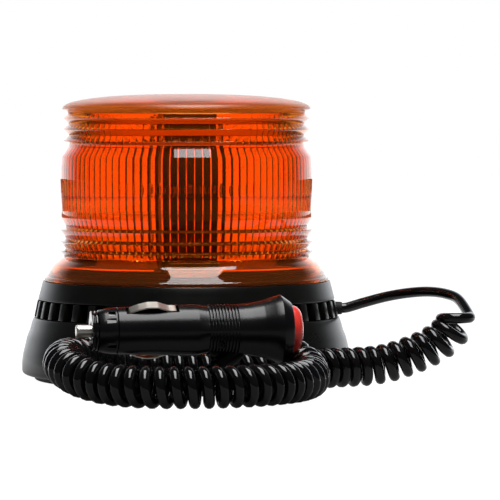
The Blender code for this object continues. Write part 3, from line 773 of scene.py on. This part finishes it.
# turn, length and width of each notch, in degrees and millimetres
NOTCHES = [(38, 3.0, 2.5), (60, 3.8, 2.1), (126, 3.4, 2.4)]
NOTCHES += [(degrees + 180, long, wide) for degrees, long, wide in NOTCHES]
cap_line = [(9.6, 16.9), (9.4, 14.5), (9.0, 12.0), (8.4, 9.4), (2.9, 9.4), (2.9, 11.2)]
cap_line += [(7.7, 11.2), (7.7, 16.9)]
cap = spun(soften(cap_line, 0.3, 2, True), 96, True)
nose_cap = add_plug_piece(
    "fuse_cap", cap, PLUG_BLACK, "nose_turn", stands_for=["nose_cap"]
)
nose_cap.data.materials.append(GLOSS_BLACK)
notches = bmesh.new()
for degrees, long, wide in NOTCHES:
    spot = Matrix.Rotation(math.radians(degrees), 4, "Z")
    spot @= Matrix.Translation(Vector((0, 10.5, 16.2 - long / 2)) * MM)
    box_into(notches, (wide, 4.0, long), PLUG @ spot)
for face in notches.faces:
    face.material_index = 1
cut_away(nose_cap, notches)

ring_line = [(8.15, 9.1), (8.15, 8.2), (7.6, 8.0), (7.6, 7.6), (8.15, 7.4), (8.15, 6.6)]
ring_line += [(2.9, 6.6), (2.9, 9.1)]
ring = spun(soften(ring_line, 0.3, 3, True), 96, True)
add_plug_piece("cap_ring", ring, GLOSS_BLACK, "nose_slide", stands_for=["nose_ring"])

# %% [markdown]
# ### The contacts
#
# The tip is a turned pin, and each ground contact is a strip that bows out of its slot. A strip is
# best made from its side view: a line is extruded to its width and then given its thickness.

# %% Tip
pin = [(0, 13.0), (4.2, 13.0), (4.2, 11.6), (2.55, 11.6), (2.55, 1.1), (2.1, 0.6), (0, 0.6)]
add_plug_piece(
    "tip_pin", spun(soften(pin, 0.3, 3), 64), NICKEL, "tip_set", stands_for=["plug_tip"]
)


# %% Ground contacts
def contact_strip(turn):
    bow = [(19.7, 7.2), (21.2, 7.2), (21.6, 8.6), (22.1, 9.7), (25.4, 11.1), (29.2, 12.1)]
    bow += [(33.4, 12.1), (36.6, 10.9), (38.0, 10.5), (41.0, 10.4), (41.3, 8.8), (41.5, 7.2)]
    bow += [(43.0, 7.2)]
    bow = soften([(r, z) for z, r in bow], 0.6, 3)
    shape = bmesh.new()
    line = [shape.verts.new((-2.3 * MM, r * MM, z * MM)) for r, z in bow]
    edges = [shape.edges.new(pair) for pair in zip(line, line[1:])]
    grown = bmesh.ops.extrude_edge_only(shape, edges=edges)["geom"]
    across = [v for v in grown if isinstance(v, bmesh.types.BMVert)]
    bmesh.ops.translate(shape, vec=(4.6 * MM, 0, 0), verts=across)
    bmesh.ops.recalc_face_normals(shape, faces=shape.faces)
    bmesh.ops.solidify(shape, geom=list(shape.faces), thickness=0.5 * MM)
    bmesh.ops.recalc_face_normals(shape, faces=shape.faces)
    bmesh.ops.transform(shape, matrix=Matrix.Rotation(turn, 4, "Z"), verts=shape.verts)
    return shape


for side, turn in (("top", CONTACT_TURN), ("bottom", CONTACT_TURN + math.pi)):
    add_plug_piece(
        f"ground_spring_{side}", contact_strip(turn), NICKEL, f"ground_{side}",
        stands_for=[f"ground_contact_{side}"], sharp=40,
    )

# %% [markdown]
# ### The red switch and the strain relief
#
# The switch is a translucent red cap, so a little light passes through its rim. The strain relief is a
# soft boot with ribs that let it bend. Both are spun profiles.


# %% Red plastic
def red_plastic():
    material = bpy.data.materials.new("red_plastic")
    material.use_nodes = True
    tree = material.node_tree
    shader = tree.nodes["Principled BSDF"]
    patches = noise(tree, 120.0)
    red = two_colours(tree, patches, (0.95, 0.06, 0.045), (0.88, 0.045, 0.03))
    link(tree, red, shader.inputs["Base Color"])
    link(tree, spread(tree, patches, 0.18, 0.26), shader.inputs["Roughness"])
    shader.inputs["Subsurface Weight"].default_value = 0.3
    shader.inputs["Subsurface Scale"].default_value = 0.002
    return material


RED = red_plastic()

# %% Switch button and boot
button = [(0, 93.6), (5.0, 93.5), (7.8, 92.7), (9.3, 91.2), (9.75, 89.0), (9.75, 86.3)]
button += [(3.0, 86.3), (3.0, 77.8), (0, 77.8)]
add_plug_piece(
    "red_switch", spun(soften(button, 0.9, 4), 96), RED, "button",
    stands_for=["switch_button"],
)

boot_line = [(0, 18.0), (2.9, 18.0)]
for k in range(4):
    top, radius = 16.4 - 3.0 * k, 3.1 + 0.25 * k
    boot_line += [(radius, top), (radius - 0.6, top - 0.3)]
    boot_line += [(radius - 0.6, top - 1.1), (radius + 0.2, top - 1.4)]
boot_line += [(4.0, 4.4), (4.0, -3.6), (0, -3.6)]
boot = spun(soften(boot_line, 0.2, 2), 48)
bmesh.ops.transform(boot, matrix=relief_place(), verts=boot.verts)
add_plug_piece("cable_boot", boot, PLUG_BLACK, stands_for=["strain_relief"])

# %% [markdown]
# ## Finishes for the solids that stay
#
# The LED column, the boards and the other insides already have the right shape, so they only need
# finishes. A circuit board gets a fine pattern of tracks from a brick texture.


# %% Circuit board
def circuit_board(name, mask, track):
    material = bpy.data.materials.new(name)
    material.use_nodes = True
    tree = material.node_tree
    shader = tree.nodes["Principled BSDF"]
    place = tree.nodes.new("ShaderNodeTexCoord")
    tracks = tree.nodes.new("ShaderNodeTexBrick")
    tracks.inputs["Scale"].default_value = 260.0
    tracks.inputs["Mortar Size"].default_value = 0.012
    tracks.inputs["Color1"].default_value = (*mask, 1.0)
    tracks.inputs["Color2"].default_value = (*[c * 0.8 for c in mask], 1.0)
    tracks.inputs["Mortar"].default_value = (*track, 1.0)
    link(tree, place.outputs["Object"], tracks.inputs["Vector"])
    link(tree, tracks.outputs["Color"], shader.inputs["Base Color"])
    link(tree, spread(tree, noise(tree, 200.0), 0.3, 0.45), shader.inputs["Roughness"])
    return material


def clear_plastic(name, colour):
    material = bpy.data.materials.new(name)
    material.use_nodes = True
    tree = material.node_tree
    shader = tree.nodes["Principled BSDF"]
    shader.inputs["Transmission Weight"].default_value = 1.0
    shader.inputs["Base Color"].default_value = (*colour, 1.0)
    link(tree, spread(tree, noise(tree, 80.0), 0.03, 0.08), shader.inputs["Roughness"])
    return material


DARK_BOARD = circuit_board("led_board", (0.02, 0.03, 0.025), (0.05, 0.06, 0.05))
GREEN_BOARD = circuit_board("driver_board", (0.02, 0.13, 0.05), (0.10, 0.28, 0.12))
CLEAR = clear_plastic("clear_optic", (0.92, 0.94, 0.94))
GLASS = clear_plastic("fuse_glass", (0.9, 0.95, 0.94))

# %% Give the solids their finishes
FINISH_OF_SLOT = {
    "black_plastic": BLACK, "black_gloss": GLOSS_BLACK, "black_rubber": RUBBER,
    "cord_jacket": JACKET, "nickel": NICKEL, "steel": STEEL, "aluminium": ALUMINIUM,
    "ferrite": FERRITE, "board_green": DARK_BOARD, "clear_optic": CLEAR, "red_button": RED,
    "glass": GLASS, "copper": COPPER, "amber_lens": AMBER,
}
slot_of_node = {part["node"]: part["material_slot"] for part in frame["record"]["subparts"]}
for node, slot_name in slot_of_node.items():
    material = GREEN_BOARD if node == "driver_board" else FINISH_OF_SLOT[slot_name]
    for material_slot in frame["nodes"][node].material_slots:
        material_slot.material = material
print("gave finishes to", len(slot_of_node), "solids")

# %% [markdown]
# ### The chips of the LEDs
#
# Each emitter on the boards carries a small square of yellow phosphor behind its optic. The squares
# show through the amber lens as dim spots, so they are worth making.

# %% LED chips
CHIP_FRONT = -13.72
PHOSPHOR = finish("phosphor", (0.85, 0.62, 0.12), (0.90, 0.70, 0.18), (0.4, 0.5), depth=0.00001)
TOWER_TURN = math.radians(9)
LED_PITCH = 8.3
LED_HEIGHT = 84.0
for face in range(4):
    chips = bmesh.new()
    for column in (-1, 0, 1):
        spot = Matrix.Translation(Vector((LED_PITCH * column, CHIP_FRONT, LED_HEIGHT)) * MM)
        box_into(chips, (2.6, 0.2, 2.6), spot)
    bevel_all(chips, 0.04, 1)
    turn = Matrix.Rotation(TOWER_TURN + face * math.pi / 2, 4, "Z")
    bmesh.ops.transform(chips, matrix=turn, verts=chips.verts)
    add_piece(f"led_chips_{face + 1}", chips, PHOSPHOR)

# %% [markdown]
# ## Floor and light
#
# The floor is a plain pale table that ends in front of the beacon. Behind it the room is bright, and in
# front and at the sides it is dim, so the black parts stay black and light up only along their edges.
# The table looks white, but it lights the undersides of the pieces as if it were darker in front. A
# wide soft box above the front makes the small bright reflections.

# %% Floor
def pale_floor():
    """White to the eye, but as a light it is bright only in a strip behind the beacon."""
    material = bpy.data.materials.new("pale_floor")
    material.use_nodes = True
    tree = material.node_tree
    shader = tree.nodes["Principled BSDF"]
    shader.inputs["Base Color"].default_value = (0.15, 0.15, 0.15, 1.0)
    shader.inputs["Roughness"].default_value = 0.9
    shader.inputs["Specular IOR Level"].default_value = 0.0
    shader.inputs["Emission Color"].default_value = (1.0, 1.0, 1.0, 1.0)
    behind = eased(tree, own_axis(tree, "Y"), -0.12, 0.2, 0.06, 1.5)
    sideways = maths(tree, "ABSOLUTE", own_axis(tree, "X"))
    strip = eased(tree, sideways, 0.3, 0.9, 1.0, 0.04)
    path = tree.nodes.new("ShaderNodeLightPath")
    seen = tree.nodes.new("ShaderNodeMix")
    seen.inputs["B"].default_value = 1.0
    link(tree, path.outputs["Is Camera Ray"], seen.inputs["Factor"])
    link(tree, maths(tree, "MULTIPLY", behind, strip), seen.inputs["A"])
    link(tree, seen.outputs["Result"], shader.inputs["Emission Strength"])
    return material


floor_shape = bmesh.new()
bmesh.ops.create_grid(floor_shape, x_segments=1, y_segments=1, size=1.0)
bmesh.ops.scale(floor_shape, vec=(3.0, 2.5, 1.0), verts=floor_shape.verts)
bmesh.ops.translate(floor_shape, vec=(0.0, 1.9, -0.0002), verts=floor_shape.verts)
floor_mesh = bpy.data.meshes.new("floor")
floor_shape.to_mesh(floor_mesh)
floor_shape.free()
floor = bpy.data.objects.new("floor", floor_mesh)
bpy.context.scene.collection.objects.link(floor)
floor_mesh.materials.append(pale_floor())


# %% Room light
def room_light(front, back):
    """A world that is bright behind the beacon and dim in front, and white to the eye."""
    world = bpy.data.worlds.new("room")
    world.use_nodes = True
    tree = world.node_tree
    tree.nodes.clear()
    place = tree.nodes.new("ShaderNodeTexCoord")
    along = tree.nodes.new("ShaderNodeVectorMath")
    along.operation = "DOT_PRODUCT"
    along.inputs[1].default_value = (0.0, 1.0, -0.35)
    link(tree, place.outputs["Generated"], along.inputs[0])
    level = eased(tree, along.outputs["Value"], 0.4, 0.9, front, back)
    lit = tree.nodes.new("ShaderNodeBackground")
    lit.inputs["Color"].default_value = (0.93, 0.96, 1.0, 1.0)
    link(tree, level, lit.inputs["Strength"])
    seen = tree.nodes.new("ShaderNodeBackground")
    seen.inputs["Color"].default_value = (1.0, 1.0, 1.0, 1.0)
    path = tree.nodes.new("ShaderNodeLightPath")
    mix = tree.nodes.new("ShaderNodeMixShader")
    link(tree, path.outputs["Is Camera Ray"], mix.inputs["Fac"])
    link(tree, lit.outputs["Background"], mix.inputs[1])
    link(tree, seen.outputs["Background"], mix.inputs[2])
    out = tree.nodes.new("ShaderNodeOutputWorld")
    link(tree, mix.outputs["Shader"], out.inputs["Surface"])
    return world


bpy.context.scene.world = room_light(0.04, 1.7)


# %% Soft boxes
def soft_box(name, spot, aim, size, watts):
    data = bpy.data.lights.new(name, "AREA")
    data.shape = "RECTANGLE"
    data.size, data.size_y = size
    data.energy = watts
    lamp = bpy.data.objects.new(name, data)
    bpy.context.scene.collection.objects.link(lamp)
    lamp.location = spot
    lamp.rotation_euler = (Vector(aim) - Vector(spot)).to_track_quat("-Z", "Y").to_euler()
    return lamp


soft_box("key_box", (0.13, -0.4, 1.45), (0.13, -0.39, 0.0), (0.8, 1.45), 29.0)
bpy.context.scene.view_settings.view_transform = "Standard"
